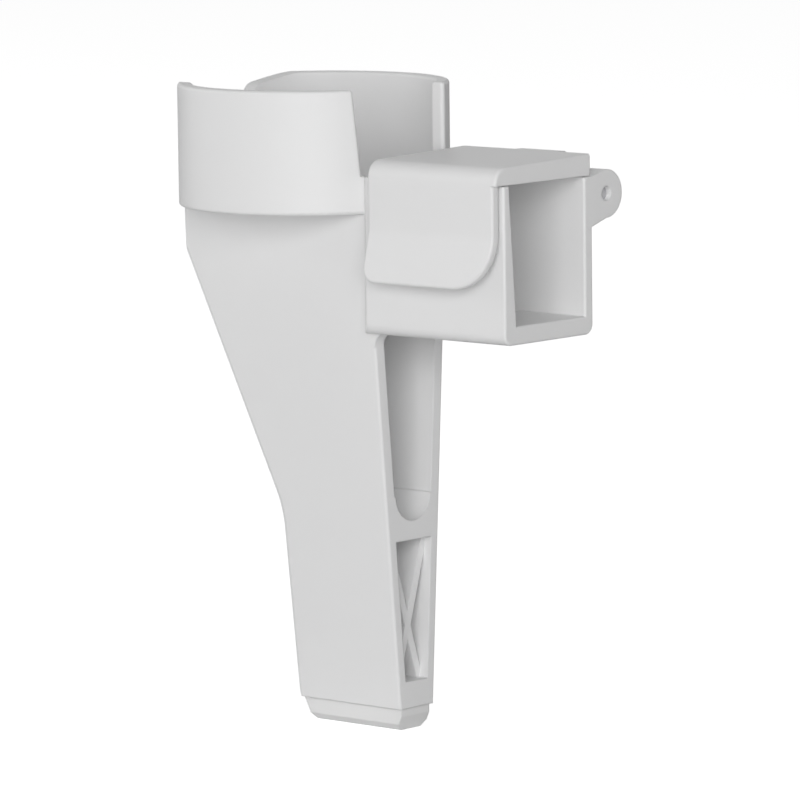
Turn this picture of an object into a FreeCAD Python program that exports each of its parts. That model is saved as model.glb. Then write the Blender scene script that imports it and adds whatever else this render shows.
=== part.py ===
import FreeCAD, Part
import math
import os

# Clip-on landing leg, in millimetres.
# Origin: on the axis of the motor cup, at the level of its seat.
# +Z is up along the cup axis, +X runs inboard along the sleeve,
# -Y is the side of the latch flap and +Y the side of its hinge.

# Motor cup
cup_inner_radius = 12.7
cup_wall = 1.5
cup_depth = 12.0
cup_floor = 0.8
gap_latch_rim = 7.2
gap_latch_seat = 6.45
window_rim_half_width = 8.6
window_top_half_width = 4.0
window_side_half_width = 3.7
window_ledge_half_width = 2.2
window_top_height = 10.75
window_side_height = 2.6
window_ledge_height = 0.2
window_top_round = 1.5
rim_round = 0.35
underside_round = 0.35

# Leg blade
leg_height = 55.2
leg_wall = 1.4
outboard_wall = 2.2
leg_thickness_foot = 5.0
leg_thickness_cup = 12.8
leg_front_foot = 13.4
leg_front_sleeve = 12.9
leg_back_foot = -0.95
knee_back = -1.8
knee_height = 22.5
knee_round = 11.0
slope_top_height = 51.5
leg_edge_round = 0.8
front_edge_round = 0.3

# Hollows of the blade
cavity_floor_height = 22.0
brace_floor = 2.0
brace_bottom_height = 5.2
brace_wall = 1.15
brace_rib = 0.85
brace_recess = 0.7
brace_back_wall = 2.2

# Arm sleeve
sleeve_end = 31.8
sleeve_width = 14.0
sleeve_wall = 1.3
latch_wall_top = 0.9
latch_wall_foot = 1.9
sleeve_floor = 1.9
sleeve_drop = 13.1
arm_height = 14.3
sleeve_corner_round = 1.1
sleeve_end_round = 0.25
shoulder_length = 1.2
shoulder_chamfer = 1.5
crotch_round = 1.5

# Latch hinge
knuckle_radius = 2.5
hinge_offset = 2.25
hinge_height = 1.15
pin_radius = 0.75
pin_running_gap = 0.05
pin_recess = 0.6
knuckle_gap = 0.2
knuckle_start = 16.3
inner_knuckle_length = 5.4
end_knuckle_length = 3.9
knuckle_web_drop = 3.4

# Latch strap
strap_start = 14.7
strap_thickness = 1.8
strap_back_rise = 0.45
strap_seat_gap = 0.1
strap_back_inset = 0.4
strap_front_round = 1.7
flap_thickness = 1.1
flap_gap = 0.25
flap_end_inset = 0.4
flap_length = 10.6
lip_length = 5.2
lip_flare = 1.25
lip_bend_round = 4.0
flap_end_corner = 4.6
flap_start_corner = 1.6
strap_edge_round = 0.3
link_level = 0.6
link_angle = 35.0

# Catch between flap and sleeve
catch_length = 9.0
catch_proud = 0.55
catch_height = 1.6
catch_crest_drop = 1.2
catch_drop = 6.0
bead_radius = 0.75
bead_drop = 8.5

# Foot pad
pad_height = 2.4
pad_inset = 0.3
pad_spigot_height = 1.4
pad_spigot_length = 8.0
pad_spigot_width = 2.0
foot_back_chamfer_run = 1.7
foot_back_chamfer_rise = 3.3
foot_front_chamfer_run = 1.0
foot_front_chamfer_rise = 2.2
foot_side_chamfer = 0.7

cup_outer_radius = cup_inner_radius + cup_wall
foot_z = -leg_height
knee_z = foot_z + knee_height
slope_top_z = foot_z + slope_top_height
sleeve_bottom = -sleeve_drop
sleeve_half = sleeve_width / 2
sleeve_inner_half = sleeve_half - sleeve_wall
gap_hinge_side = sleeve_inner_half
channel_floor = sleeve_bottom + sleeve_floor
wall_top = channel_floor + arm_height
hinge_y = sleeve_half + hinge_offset
strap_bottom = wall_top + strap_seat_gap
strap_top = strap_bottom + strap_thickness
strap_top_back = strap_top + strap_back_rise
strap_back = sleeve_half - strap_back_inset
strap_knuckle_start = knuckle_start + inner_knuckle_length + knuckle_gap
strap_knuckle_end = sleeve_end - end_knuckle_length - knuckle_gap
flap_inner_y = -(sleeve_half + flap_gap)
flap_outer_y = flap_inner_y - flap_thickness
flap_bottom = strap_bottom - flap_length
lip_top = flap_bottom + lip_length
catch_middle = (strap_start + sleeve_end) / 2
cavity_floor_z = foot_z + cavity_floor_height
brace_top_z = cavity_floor_z - brace_floor
brace_bottom_z = foot_z + brace_bottom_height
pad_top = foot_z + pad_height

# How far cutting tools reach past what they cut, and how close counts as the same place
overlap = 1.0
far = 40.0
near = 0.1


def vec(x, y, z):
    return FreeCAD.Vector(x, y, z)


def box(x0, x1, y0, y1, z0, z1):
    return Part.makeBox(x1 - x0, y1 - y0, z1 - z0, vec(x0, y0, z0))


def cylinder_z(radius, z0, z1):
    return Part.makeCylinder(radius, z1 - z0, vec(0, 0, z0), vec(0, 0, 1))


def cylinder_x(radius, x0, x1, y, z):
    return Part.makeCylinder(radius, x1 - x0, vec(x0, y, z), vec(1, 0, 0))


def cylinder_y(radius, x, z):
    return Part.makeCylinder(radius, 2 * far, vec(x, -far, z), vec(0, 1, 0))


def prism_across(points, y0, y1):
    """Side outline of x, z points, carried across from y0 to y1."""
    face = Part.Face(Part.makePolygon([vec(x, y0, z) for x, z in points + points[:1]]))
    return face.extrude(vec(0, y1 - y0, 0))


def prism_along(points, x0, x1):
    """Cross-section of y, z points, carried along the arm from x0 to x1."""
    face = Part.Face(Part.makePolygon([vec(x0, y, z) for y, z in points + points[:1]]))
    return face.extrude(vec(x1 - x0, 0, 0))


def middle(edge):
    return edge.valueAt((edge.FirstParameter + edge.LastParameter) / 2)


def rise_of(edge):
    heights = [vertex.Z for vertex in edge.Vertexes]
    return max(heights) - min(heights)


def rounded(shape, radius, test):
    """The shape with a fillet on every edge that passes a test."""
    return shape.makeFillet(radius, [edge for edge in shape.Edges if test(edge)])


def leg_half_thickness(z):
    """Half of the blade's thickness across Y at a height."""
    share = (z - foot_z) / (leg_height - cup_floor)
    return (leg_thickness_foot + (leg_thickness_cup - leg_thickness_foot) * share) / 2


def leg_front(z):
    """X of the blade's inboard edge at a height below the sleeve."""
    share = (z - foot_z) / (sleeve_bottom - foot_z)
    return leg_front_foot + (leg_front_sleeve - leg_front_foot) * share


def leg_back(z):
    """X of the blade's outboard edge at a height below the knee."""
    share = (z - foot_z) / knee_height
    return leg_back_foot + (knee_back - leg_back_foot) * share


def blade_slab(wall):
    """The space between the blade's two broad faces, each moved in by a wall."""
    low = foot_z - overlap
    low_half = leg_half_thickness(low) - wall
    high_half = leg_half_thickness(overlap) - wall
    return prism_along([(-low_half, low), (low_half, low), (high_half, overlap), (-high_half, overlap)], -far, far)


def outboard_round(radius):
    """The cup's cylinder, opened towards the arm, that bounds the blade outboard."""
    return cylinder_z(radius, foot_z - overlap, overlap).fuse(
        box(0, far, -far, far, foot_z - overlap, overlap))


def back_profile(wall):
    """The blade's back from the cup down past the knee to the pad's seam, moved in by a wall."""
    run = knee_back + cup_outer_radius
    rise = slope_top_z - knee_z
    length = math.hypot(run, rise)
    step_x = wall * rise / length
    step_z = wall * run / length
    return [
        (-cup_outer_radius + step_x, slope_top_z + step_z),
        (knee_back + step_x, knee_z + step_z),
        (leg_back(pad_top) + step_x, pad_top)]


def blade_solid():
    """The outer form of the blade before it is hollowed."""
    prism = prism_across([
        (leg_front(pad_top), pad_top),
        (leg_front_sleeve, sleeve_bottom),
        (leg_front_sleeve, -cup_floor),
        (-cup_outer_radius, -cup_floor)] + back_profile(0.0), -far, far)

    def knee(edge):
        return abs(middle(edge).x - knee_back) < near and abs(middle(edge).z - knee_z) < near

    def back_edge(edge):
        point = middle(edge)
        return rise_of(edge) > near and point.x < 0 and point.z < slope_top_z

    def front_edge(edge):
        point = middle(edge)
        return rise_of(edge) > near and point.x > 0 and point.z < sleeve_bottom

    blade = rounded(prism, knee_round, knee).common(blade_slab(0.0))
    blade = rounded(blade, leg_edge_round, back_edge).common(outboard_round(cup_outer_radius))
    return rounded(blade, front_edge_round, front_edge)


def foot_chamfers():
    """Wedges taken off the back and the front of the foot."""
    back_wedge = prism_across([
        (leg_back_foot - overlap, foot_z - overlap),
        (leg_back_foot + foot_back_chamfer_run, foot_z - overlap),
        (leg_back_foot + foot_back_chamfer_run, foot_z),
        (leg_back_foot, foot_z + foot_back_chamfer_rise),
        (leg_back_foot - overlap, foot_z + foot_back_chamfer_rise)], -far, far)
    front_wedge = prism_across([
        (leg_front_foot + overlap, foot_z - overlap),
        (leg_front_foot - foot_front_chamfer_run, foot_z - overlap),
        (leg_front_foot - foot_front_chamfer_run, foot_z),
        (leg_front_foot, foot_z + foot_front_chamfer_rise),
        (leg_front_foot + overlap, foot_z + foot_front_chamfer_rise)], -far, far)
    return back_wedge.fuse(front_wedge)


def pad_spigot():
    """The plug on top of the foot pad, and the socket it fills in the blade's end."""
    middle_x = (leg_back_foot + leg_front_foot) / 2
    return box(middle_x - pad_spigot_length / 2, middle_x + pad_spigot_length / 2,
               -pad_spigot_width / 2, pad_spigot_width / 2, pad_top - overlap, pad_top + pad_spigot_height)


def foot_pad():
    """The pad under the foot, a little smaller all round than the blade."""
    half = leg_half_thickness(foot_z) - pad_inset
    pad = prism_along([
        (-half + foot_side_chamfer, foot_z),
        (half - foot_side_chamfer, foot_z),
        (half, foot_z + foot_side_chamfer),
        (half, pad_top),
        (-half, pad_top),
        (-half, foot_z + foot_side_chamfer)], leg_back_foot + pad_inset, leg_front_foot - pad_inset)
    return pad.cut(foot_chamfers()).fuse(pad_spigot()).removeSplitter()


def blade_cavity():
    """The upper hollow of the blade: open inboard below the sleeve, and up into the cup."""
    slope_top, knee, low = back_profile(leg_wall)
    hollow = prism_across([
        (far, cavity_floor_z),
        (far, sleeve_bottom),
        (leg_front_sleeve, sleeve_bottom),
        (leg_front_sleeve, overlap),
        (slope_top[0], overlap),
        slope_top,
        knee,
        (leg_back(cavity_floor_z) + leg_wall, cavity_floor_z)], -far, far)
    hollow = hollow.common(blade_slab(leg_wall)).common(outboard_round(cup_outer_radius - outboard_wall))
    trough = leg_half_thickness(cavity_floor_z) - leg_wall
    fill = box(-far, far, -trough - overlap, trough + overlap, cavity_floor_z - overlap, cavity_floor_z + trough)
    return hollow.cut(fill.cut(cylinder_x(trough, -far, far, 0, cavity_floor_z + trough)))


def brace_rib_solid(side):
    """One slanted rib across the lower hollow, leaning to the given side."""
    low = leg_half_thickness(brace_bottom_z) - brace_wall
    high = leg_half_thickness(brace_top_z) - brace_wall
    run = low + high
    rise = brace_top_z - brace_bottom_z
    length = math.hypot(run, rise)
    aside = brace_rib / 2 * length / rise
    reach = run / length * overlap
    climb = rise / length * overlap
    return prism_along([
        (side * (-low - reach) - aside, brace_bottom_z - climb),
        (side * (-low - reach) + aside, brace_bottom_z - climb),
        (side * (high + reach) + aside, brace_top_z + climb),
        (side * (high + reach) - aside, brace_top_z + climb)], -far, leg_front_sleeve - brace_recess)


def brace_pocket():
    """The lower hollow, crossed by two ribs that stand a little back from the blade's edge."""
    low = leg_half_thickness(brace_bottom_z) - brace_wall
    high = leg_half_thickness(brace_top_z) - brace_wall
    pocket = prism_along([
        (-low, brace_bottom_z),
        (low, brace_bottom_z),
        (high, brace_top_z),
        (-high, brace_top_z)], leg_back_foot + brace_back_wall, far)
    return pocket.cut([brace_rib_solid(1), brace_rib_solid(-1)])


def sleeve_shell():
    """The sleeve from its chamfered start inside the blade to its rounded mouth, with its channel."""
    start = leg_front_sleeve - shoulder_length
    block = box(start, sleeve_end, -sleeve_half, sleeve_half, sleeve_bottom, wall_top)

    def shoulder(edge):
        return max(vertex.X for vertex in edge.Vertexes) < start + near and rise_of(edge) > near

    def lower_corner(edge):
        point = middle(edge)
        return abs(abs(point.y) - sleeve_half) < near and abs(point.z - sleeve_bottom) < near

    def mouth(edge):
        return min(vertex.X for vertex in edge.Vertexes) > sleeve_end - near

    block = block.makeChamfer(shoulder_chamfer, [edge for edge in block.Edges if shoulder(edge)])
    shell = rounded(block, sleeve_corner_round, lower_corner).cut(arm_channel())
    return rounded(shell, sleeve_end_round, mouth)


def arm_channel():
    """The square hollow of the sleeve; the latch-side wall gets thinner towards its top."""
    return prism_along([
        (-sleeve_half + latch_wall_foot, channel_floor),
        (sleeve_inner_half, channel_floor),
        (sleeve_inner_half, wall_top + overlap),
        (-sleeve_half + latch_wall_top, wall_top + overlap),
        (-sleeve_half + latch_wall_top, wall_top)], leg_front_sleeve, far)


def gap_cut():
    """The opening of the cup towards the arm: slanted on the latch side, level with the channel on the other."""
    return prism_along([
        (-gap_latch_seat, wall_top),
        (gap_hinge_side, wall_top),
        (gap_hinge_side, cup_depth + overlap),
        (-gap_latch_rim, cup_depth + overlap),
        (-gap_latch_rim, cup_depth)], 0, far)


def window_cut():
    """The notch in the cup's outboard wall: sloping shoulders, steep sides and ramped lower corners."""
    notch = prism_along([
        (-window_ledge_half_width, window_ledge_height),
        (window_ledge_half_width, window_ledge_height),
        (window_side_half_width, window_side_height),
        (window_top_half_width, window_top_height),
        (window_rim_half_width, cup_depth),
        (window_rim_half_width, cup_depth + overlap),
        (-window_rim_half_width, cup_depth + overlap),
        (-window_rim_half_width, cup_depth),
        (-window_top_half_width, window_top_height),
        (-window_side_half_width, window_side_height)], -far, -cup_inner_radius / 2)

    def shoulder(edge):
        point = middle(edge)
        return abs(abs(point.y) - window_top_half_width) < near and abs(point.z - window_top_height) < near

    return rounded(notch, window_top_round, shoulder)


def cup_solid():
    """The motor cup: a ring with a floor, open to the arm, its rim and the ends of its wall rounded."""
    ring = cylinder_z(cup_outer_radius, -cup_floor, cup_depth)
    ring = ring.cut([cylinder_z(cup_inner_radius, 0, cup_depth + overlap), gap_cut(), window_cut()])

    def exposed(edge):
        on_rim = min(vertex.Z for vertex in edge.Vertexes) > cup_depth - near
        at_gap = rise_of(edge) > cup_depth / 2 and middle(edge).x > 0
        return on_rim or at_gap

    return rounded(ring, rim_round, exposed)


def ring_underside(edge):
    """Whether an edge is the ring's lower rim, where it overhangs the blade."""
    point = middle(edge)
    on_ring = abs(math.hypot(point.x, point.y) - cup_outer_radius) < near
    return on_ring and abs(point.z + cup_floor) < near and edge.Length > cup_outer_radius / 2


def knuckle(x0, x1):
    return cylinder_x(knuckle_radius, x0, x1, hinge_y, hinge_height)


def sleeve_knuckle(x0, x1):
    """An outer knuckle, with the web that joins it to the sleeve's wall."""
    root_y = (sleeve_inner_half + sleeve_half) / 2
    web = prism_along([
        (root_y, wall_top),
        (sleeve_half, wall_top),
        (hinge_y, hinge_height + knuckle_radius),
        (hinge_y, hinge_height - knuckle_radius),
        (root_y, hinge_height - knuckle_web_drop)], x0, x1)
    return web.fuse(knuckle(x0, x1))


def crotch_fillet():
    """The inside radius where the blade's front meets the underside of the sleeve."""
    block = box(leg_front_sleeve - overlap, leg_front_sleeve + crotch_round, -far, far,
                sleeve_bottom - crotch_round, sleeve_bottom + overlap)
    roller = cylinder_y(crotch_round, leg_front_sleeve + crotch_round, sleeve_bottom - crotch_round)
    return block.cut(roller).common(blade_slab(0.0))


def catch_ridge():
    """A low wedge outside the latch wall, which the flap's bead snaps under."""
    top = wall_top - catch_drop
    root_y = -(sleeve_inner_half + sleeve_half) / 2
    return prism_along([
        (root_y, top),
        (-sleeve_half, top),
        (-sleeve_half - catch_proud, top - catch_crest_drop),
        (-sleeve_half, top - catch_height),
        (root_y, top - catch_height)], catch_middle - catch_length / 2, catch_middle + catch_length / 2)


def leg_body():
    """Cup, blade and sleeve, moulded in one piece."""
    body = blade_solid().fuse([
        cup_solid(),
        sleeve_shell(),
        sleeve_knuckle(knuckle_start, knuckle_start + inner_knuckle_length),
        sleeve_knuckle(sleeve_end - end_knuckle_length, sleeve_end),
        crotch_fillet()]).removeSplitter()
    body = rounded(body, underside_round, ring_underside)
    relief = cylinder_x(knuckle_radius + knuckle_gap, strap_knuckle_start - knuckle_gap,
                        strap_knuckle_end + knuckle_gap, hinge_y, hinge_height)
    pin_bore = cylinder_x(pin_radius, knuckle_start - overlap, sleeve_end + overlap, hinge_y, hinge_height)
    cup_passage = box(0, far, -sleeve_inner_half, sleeve_inner_half, 0, wall_top + overlap)
    body = body.cut([arm_channel(), window_cut(), cup_passage])
    body = body.cut([blade_cavity(), brace_pocket(), relief, pin_bore, pad_spigot(), foot_chamfers()])
    return body.fuse(catch_ridge()).removeSplitter()


def flap_corner(x, radius, inward):
    """What is cut off a lower corner of the flap; inward is the X direction away from the corner."""
    centre = x + inward * radius
    x0, x1 = sorted((x - inward * overlap, centre))
    block = box(x0, x1, -far, flap_inner_y + near, flap_bottom - overlap, flap_bottom + radius)
    return block.cut(cylinder_y(radius, centre, flap_bottom + radius))


def strap_section():
    """The strap's bent section: top plate, flap and flared finger lip."""
    section = prism_along([
        (strap_back, strap_bottom),
        (strap_back, strap_top_back),
        (flap_outer_y, strap_top),
        (flap_outer_y, lip_top),
        (flap_outer_y - lip_flare, flap_bottom),
        (flap_inner_y - lip_flare, flap_bottom),
        (flap_inner_y, lip_top),
        (flap_inner_y, strap_bottom)], strap_start, sleeve_end)

    def at(y, z):
        return lambda edge: abs(middle(edge).y - y) < near and abs(middle(edge).z - z) < near

    section = rounded(section, strap_front_round, at(flap_outer_y, strap_top))
    section = rounded(section, lip_bend_round, at(flap_outer_y, lip_top))
    return rounded(section, lip_bend_round + flap_thickness, at(flap_inner_y, lip_top))


def strap_shell():
    """The bent strap with its flap trimmed at the end and corners, and its outer edges rounded."""
    flap_end = sleeve_end - flap_end_inset
    trim = box(flap_end, sleeve_end + overlap, -far, flap_inner_y, -far, strap_bottom)
    shell = strap_section().cut([
        trim,
        flap_corner(flap_end, flap_end_corner, -1),
        flap_corner(strap_start, flap_start_corner, 1)])

    def outline(edge):
        point = middle(edge)
        lip_edge = abs(point.z - flap_bottom) < near and edge.Length > flap_end_corner
        plate_end = abs(point.x - sleeve_end) < near and strap_top - near < point.z < strap_top_back + near
        return lip_edge or plate_end

    return rounded(shell, strap_edge_round, outline)


def strap_link():
    """The bridge from the top plate down to the strap's knuckle, clear of the sleeve's wall."""
    inner_y = sleeve_half + flap_gap
    inner_z = hinge_height + math.sqrt(knuckle_radius ** 2 - (hinge_y - inner_y) ** 2)
    lean = math.radians(link_angle)
    return prism_along([
        (strap_back - overlap, strap_bottom),
        (strap_back - overlap, strap_top),
        (strap_back, strap_top_back),
        (sleeve_half + link_level, strap_top_back),
        (hinge_y + knuckle_radius * math.sin(lean), hinge_height + knuckle_radius * math.cos(lean)),
        (hinge_y, hinge_height),
        (inner_y, inner_z),
        (inner_y, strap_bottom)], strap_knuckle_start, strap_knuckle_end)


def catch_bead():
    """A small bead inside the flap, level with the underside of the ridge."""
    z = strap_bottom - bead_drop
    lean = lip_flare * (lip_top - z) / lip_length
    return cylinder_x(bead_radius, catch_middle - catch_length / 2, catch_middle + catch_length / 2,
                      flap_inner_y - lean, z)


def latch_strap():
    """Strap, bridge and middle knuckle, moulded in one piece and bored for the pin."""
    strap = strap_shell().fuse([
        strap_link(),
        knuckle(strap_knuckle_start, strap_knuckle_end),
        catch_bead()]).removeSplitter()
    return strap.cut(cylinder_x(pin_radius + pin_running_gap, strap_knuckle_start - overlap,
                                strap_knuckle_end + overlap, hinge_y, hinge_height))


def hinge_pin():
    """Steel pin, pressed into the two outer knuckles."""
    return cylinder_x(pin_radius, knuckle_start, sleeve_end - pin_recess, hinge_y, hinge_height)


def save(name, shape):
    shape.exportStep("parts/" + name + ".step")
    print(name, "solids", len(shape.Solids), "valid", shape.isValid(), "volume", round(shape.Volume, 1))


os.makedirs("parts", exist_ok=True)
save("leg_body", leg_body())
save("latch_strap", latch_strap())
save("hinge_pin", hinge_pin())
save("foot_pad", foot_pad())
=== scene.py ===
import bpy
import math
from mathutils import Matrix, Vector


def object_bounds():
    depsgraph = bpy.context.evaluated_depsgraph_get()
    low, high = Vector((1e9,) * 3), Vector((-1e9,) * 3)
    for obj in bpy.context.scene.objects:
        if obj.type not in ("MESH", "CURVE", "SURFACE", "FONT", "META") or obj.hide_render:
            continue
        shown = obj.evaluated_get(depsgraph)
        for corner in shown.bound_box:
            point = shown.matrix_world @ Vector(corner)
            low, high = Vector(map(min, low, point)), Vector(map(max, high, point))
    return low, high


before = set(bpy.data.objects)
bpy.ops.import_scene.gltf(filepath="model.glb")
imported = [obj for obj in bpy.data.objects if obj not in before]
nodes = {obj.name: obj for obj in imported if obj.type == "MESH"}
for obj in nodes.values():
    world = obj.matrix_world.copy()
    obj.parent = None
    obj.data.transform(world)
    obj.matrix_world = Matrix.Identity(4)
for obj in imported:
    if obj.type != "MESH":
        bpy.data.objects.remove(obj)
modelBox = [list(corner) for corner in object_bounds()]
bpy.ops.object.select_all(action="DESELECT")
print("frame loaded:", ", ".join(sorted(nodes)))


# small helpers for the node trees

def newMaterial(name):
    mat = bpy.data.materials.new(name)
    mat.use_nodes = True
    tree = mat.node_tree
    tree.nodes.clear()
    out = tree.nodes.new("ShaderNodeOutputMaterial")
    shader = tree.nodes.new("ShaderNodeBsdfPrincipled")
    tree.links.new(shader.outputs["BSDF"], out.inputs["Surface"])
    return mat, tree, shader


def objectCoords(tree, scale=(1.0, 1.0, 1.0), location=(0.0, 0.0, 0.0)):
    coords = tree.nodes.new("ShaderNodeTexCoord")
    mapping = tree.nodes.new("ShaderNodeMapping")
    mapping.inputs["Scale"].default_value = scale
    mapping.inputs["Location"].default_value = location
    tree.links.new(coords.outputs["Object"], mapping.inputs["Vector"])
    return mapping.outputs["Vector"]


def noise(tree, vector, scale, detail=2.0, roughness=0.5):
    tex = tree.nodes.new("ShaderNodeTexNoise")
    tex.inputs["Scale"].default_value = scale
    tex.inputs["Detail"].default_value = detail
    tex.inputs["Roughness"].default_value = roughness
    tree.links.new(vector, tex.inputs["Vector"])
    return tex.outputs["Fac"]


def toRange(tree, value, low, high, fromLow=0.0, fromHigh=1.0):
    node = tree.nodes.new("ShaderNodeMapRange")
    node.inputs["From Min"].default_value = fromLow
    node.inputs["From Max"].default_value = fromHigh
    node.inputs["To Min"].default_value = low
    node.inputs["To Max"].default_value = high
    tree.links.new(value, node.inputs["Value"])
    return node.outputs["Result"]


def colourMix(tree, value, first, second):
    node = tree.nodes.new("ShaderNodeMix")
    node.data_type = "RGBA"
    node.inputs["A"].default_value = (*first, 1.0)
    node.inputs["B"].default_value = (*second, 1.0)
    tree.links.new(value, node.inputs["Factor"])
    return node.outputs["Result"]


def softEdges(tree, radius):
    node = tree.nodes.new("ShaderNodeBevel")   # the moulded edges are never quite sharp
    node.samples = 4
    node.inputs["Radius"].default_value = radius
    return node.outputs["Normal"]


def bump(tree, height, strength, distance, normal=None):
    node = tree.nodes.new("ShaderNodeBump")
    node.inputs["Strength"].default_value = strength
    node.inputs["Distance"].default_value = distance
    tree.links.new(height, node.inputs["Height"])
    if normal is not None:
        tree.links.new(normal, node.inputs["Normal"])
    return node.outputs["Normal"]


def dress(name, mat):
    node = nodes[name]
    node.data.materials.clear()
    node.data.materials.append(mat)


# camera, at the photograph's angle

cameraSetup = {
    "azimuth": 41.2,       # degrees round +Z from the flap side
    "elevation": 7.35,
    "roll": -0.7,
    "distance": 0.66,
    "target": (0.0065, 0.0057, -0.0217),
    "frameWidth": 0.084,   # metres across the picture at the target
    "sensorWidth": 36.0,
    "clipStart": 0.01,
    "clipEnd": 20.0,
}


def outward(setup):
    azimuth = math.radians(setup["azimuth"])
    elevation = math.radians(setup["elevation"])
    return Vector((
        math.sin(azimuth) * math.cos(elevation),
        -math.cos(azimuth) * math.cos(elevation),
        math.sin(elevation)))


def addCamera(setup):
    back = outward(setup)
    place = Vector(setup["target"]) + back * setup["distance"]
    turn = (-back).to_track_quat("-Z", "Y").to_matrix().to_4x4()
    roll = Matrix.Rotation(math.radians(setup["roll"]), 4, "Z")
    bpy.ops.object.camera_add(location=place)
    camera = bpy.context.object
    camera.name = "photoCamera"
    camera.matrix_world = Matrix.Translation(place) @ turn @ roll
    camera.data.sensor_width = setup["sensorWidth"]
    camera.data.lens = setup["sensorWidth"] * setup["distance"] / setup["frameWidth"]
    camera.data.clip_start = setup["clipStart"]
    camera.data.clip_end = setup["clipEnd"]
    bpy.context.scene.camera = camera


addCamera(cameraSetup)
print("camera set")


# white moulded plastic of the leg and its strap

whitePlastic = {
    "light": (0.86, 0.86, 0.86),
    "dark": (0.825, 0.825, 0.827),
    "cloudScale": 55.0,        # soft flow marks, about 2 cm across
    "grainScale": 5200.0,      # spark-eroded mould grain
    "grainDepth": 0.000012,
    "waveScale": 240.0,        # faint sink of a moulded wall
    "waveDepth": 0.00002,
    "roughness": (0.40, 0.50),
    "specular": 0.35,
    "ior": 1.5,
    "grainStrength": 0.35,
    "waveStrength": 0.25,
    "edgeRadius": 0.00022,
}


def addPlastic(name, look, offset=(0.0, 0.0, 0.0)):
    mat, tree, shader = newMaterial(name)
    vector = objectCoords(tree, location=offset)
    clouds = noise(tree, vector, look["cloudScale"], detail=3.0)
    grain = noise(tree, vector, look["grainScale"], detail=2.0, roughness=0.6)
    wave = noise(tree, vector, look["waveScale"], detail=1.0)
    tree.links.new(colourMix(tree, clouds, look["dark"], look["light"]), shader.inputs["Base Color"])
    tree.links.new(toRange(tree, grain, *look["roughness"]), shader.inputs["Roughness"])
    edges = softEdges(tree, look["edgeRadius"])
    soft = bump(tree, wave, look["waveStrength"], look["waveDepth"], edges)
    rough = bump(tree, grain, look["grainStrength"], look["grainDepth"], soft)
    tree.links.new(rough, shader.inputs["Normal"])
    shader.inputs["IOR"].default_value = look["ior"]
    shader.inputs["Specular IOR Level"].default_value = look["specular"]
    return mat


dress("leg_body", addPlastic("legPlastic", whitePlastic))
dress("latch_strap", addPlastic("strapPlastic", whitePlastic, offset=(0.3, 0.1, 0.2)))
print("plastic done")


# foot pad, a matter plastic than the leg's

padPlastic = {
    "light": (0.84, 0.84, 0.838),
    "dark": (0.80, 0.80, 0.798),
    "cloudScale": 120.0,
    "grainScale": 3600.0,
    "grainDepth": 0.00002,
    "waveScale": 300.0,
    "waveDepth": 0.00002,
    "roughness": (0.58, 0.72),
    "specular": 0.3,
    "ior": 1.5,
    "grainStrength": 0.35,
    "waveStrength": 0.25,
    "edgeRadius": 0.0002,
}

dress("foot_pad", addPlastic("padPlastic", padPlastic))
print("foot pad done")


# steel hinge pin

pinSteel = {
    "light": (0.62, 0.62, 0.63),
    "dark": (0.48, 0.48, 0.50),
    "drawScale": (60.0, 6000.0, 6000.0),   # drawing lines along the wire
    "drawStrength": 0.2,
    "drawDepth": 0.000008,
    "roughness": (0.26, 0.42),
}


def addSteel(name, look):
    mat, tree, shader = newMaterial(name)
    lines = noise(tree, objectCoords(tree, scale=look["drawScale"]), 1.0, detail=3.0)
    tree.links.new(colourMix(tree, lines, look["dark"], look["light"]), shader.inputs["Base Color"])
    tree.links.new(toRange(tree, lines, *look["roughness"]), shader.inputs["Roughness"])
    drawn = bump(tree, lines, look["drawStrength"], look["drawDepth"])
    tree.links.new(drawn, shader.inputs["Normal"])
    shader.inputs["Metallic"].default_value = 1.0
    return mat


dress("hinge_pin", addSteel("pinSteel", pinSteel))
print("hinge pin done")


# floor, world and lamps

studio = {
    "floorSize": 8.0,
    "floorColour": (0.86, 0.86, 0.86),
    "floorRoughness": 0.9,
    "floorLift": 0.76,         # what the camera sees on top of the lit paper
    "worldStrength": 0.22,
    "lampAim": (0.006, 0.0, -0.022),
}

softBoxes = {   # azimuth and elevation in degrees as for the camera, distance and size in metres, watts
    "frontBox": {"azimuth": 37.0, "elevation": 6.0, "distance": 1.0, "size": 0.8, "power": 9.4},
    "leftBox": {"azimuth": -70.0, "elevation": 8.0, "distance": 1.0, "size": 0.7, "power": 2.8},
    "topBox": {"azimuth": 10.0, "elevation": 78.0, "distance": 1.0, "size": 0.6, "power": 0.2},
}


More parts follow.
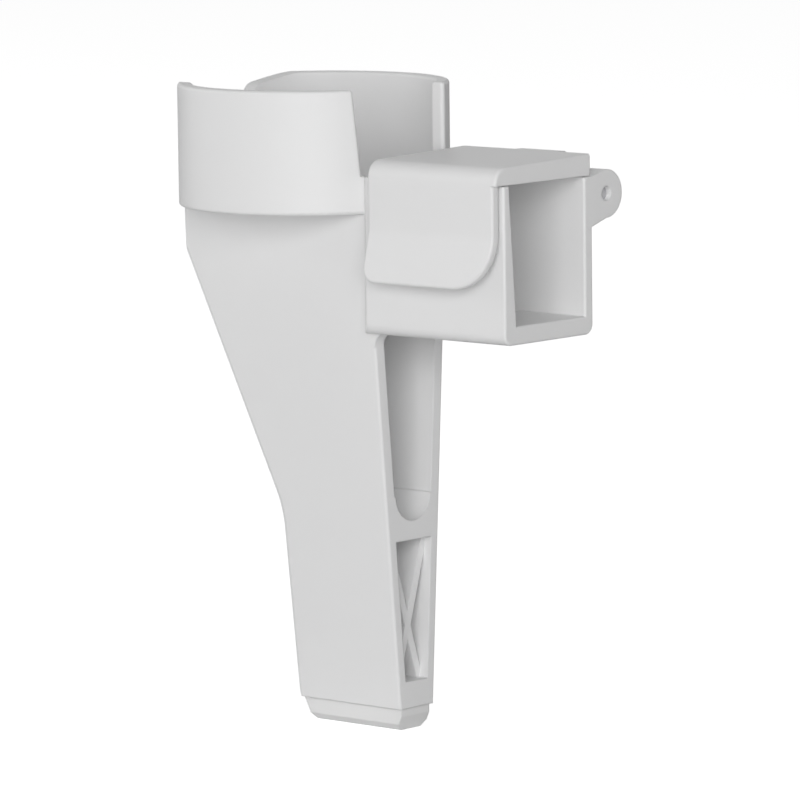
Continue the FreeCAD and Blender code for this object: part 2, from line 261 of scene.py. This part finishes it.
def addFloor(setup):
    low = modelBox[0][2]
    bpy.ops.mesh.primitive_plane_add(size=setup["floorSize"], location=(0.0, 0.0, low))
    floor = bpy.context.object
    floor.name = "studioFloor"
    bpy.ops.object.transform_apply(location=True, rotation=False, scale=True)
    mat, tree, shader = newMaterial("floorPaper")
    shader.inputs["Base Color"].default_value = (*setup["floorColour"], 1.0)
    shader.inputs["Roughness"].default_value = setup["floorRoughness"]
    shader.inputs["Specular IOR Level"].default_value = 0.0
    path = tree.nodes.new("ShaderNodeLightPath")
    lift = toRange(tree, path.outputs["Is Camera Ray"], 0.0, setup["floorLift"])
    shader.inputs["Emission Color"].default_value = (1.0, 1.0, 1.0, 1.0)
    tree.links.new(lift, shader.inputs["Emission Strength"])
    floor.data.materials.append(mat)


def addWorld(setup):
    world = bpy.data.worlds.new("studioWorld")
    bpy.context.scene.world = world
    world.use_nodes = True
    tree = world.node_tree
    tree.nodes.clear()
    out = tree.nodes.new("ShaderNodeOutputWorld")
    background = tree.nodes.new("ShaderNodeBackground")
    background.inputs["Color"].default_value = (1.0, 1.0, 1.0, 1.0)
    path = tree.nodes.new("ShaderNodeLightPath")
    seen = path.outputs["Is Camera Ray"]
    for ray in ("Is Glossy Ray", "Is Transmission Ray"):
        either = tree.nodes.new("ShaderNodeMath")
        either.operation = "MAXIMUM"
        tree.links.new(seen, either.inputs[0])
        tree.links.new(path.outputs[ray], either.inputs[1])
        seen = either.outputs["Value"]
    tree.links.new(toRange(tree, seen, setup["worldStrength"], 1.0), background.inputs["Strength"])
    tree.links.new(background.outputs["Background"], out.inputs["Surface"])


def addSoftBox(name, box):
    back = outward(box)
    bpy.ops.object.light_add(type="AREA", location=Vector(studio["lampAim"]) + back * box["distance"])
    lamp = bpy.context.object
    lamp.name = name
    lamp.data.shape = "SQUARE"
    lamp.data.size = box["size"]
    lamp.data.energy = box["power"]
    lamp.rotation_mode = "QUATERNION"
    lamp.rotation_quaternion = (-back).to_track_quat("-Z", "Y")


addFloor(studio)
addWorld(studio)
for name, box in softBoxes.items():
    addSoftBox(name, box)
bpy.context.scene.view_settings.view_transform = "Standard"
print("studio done")
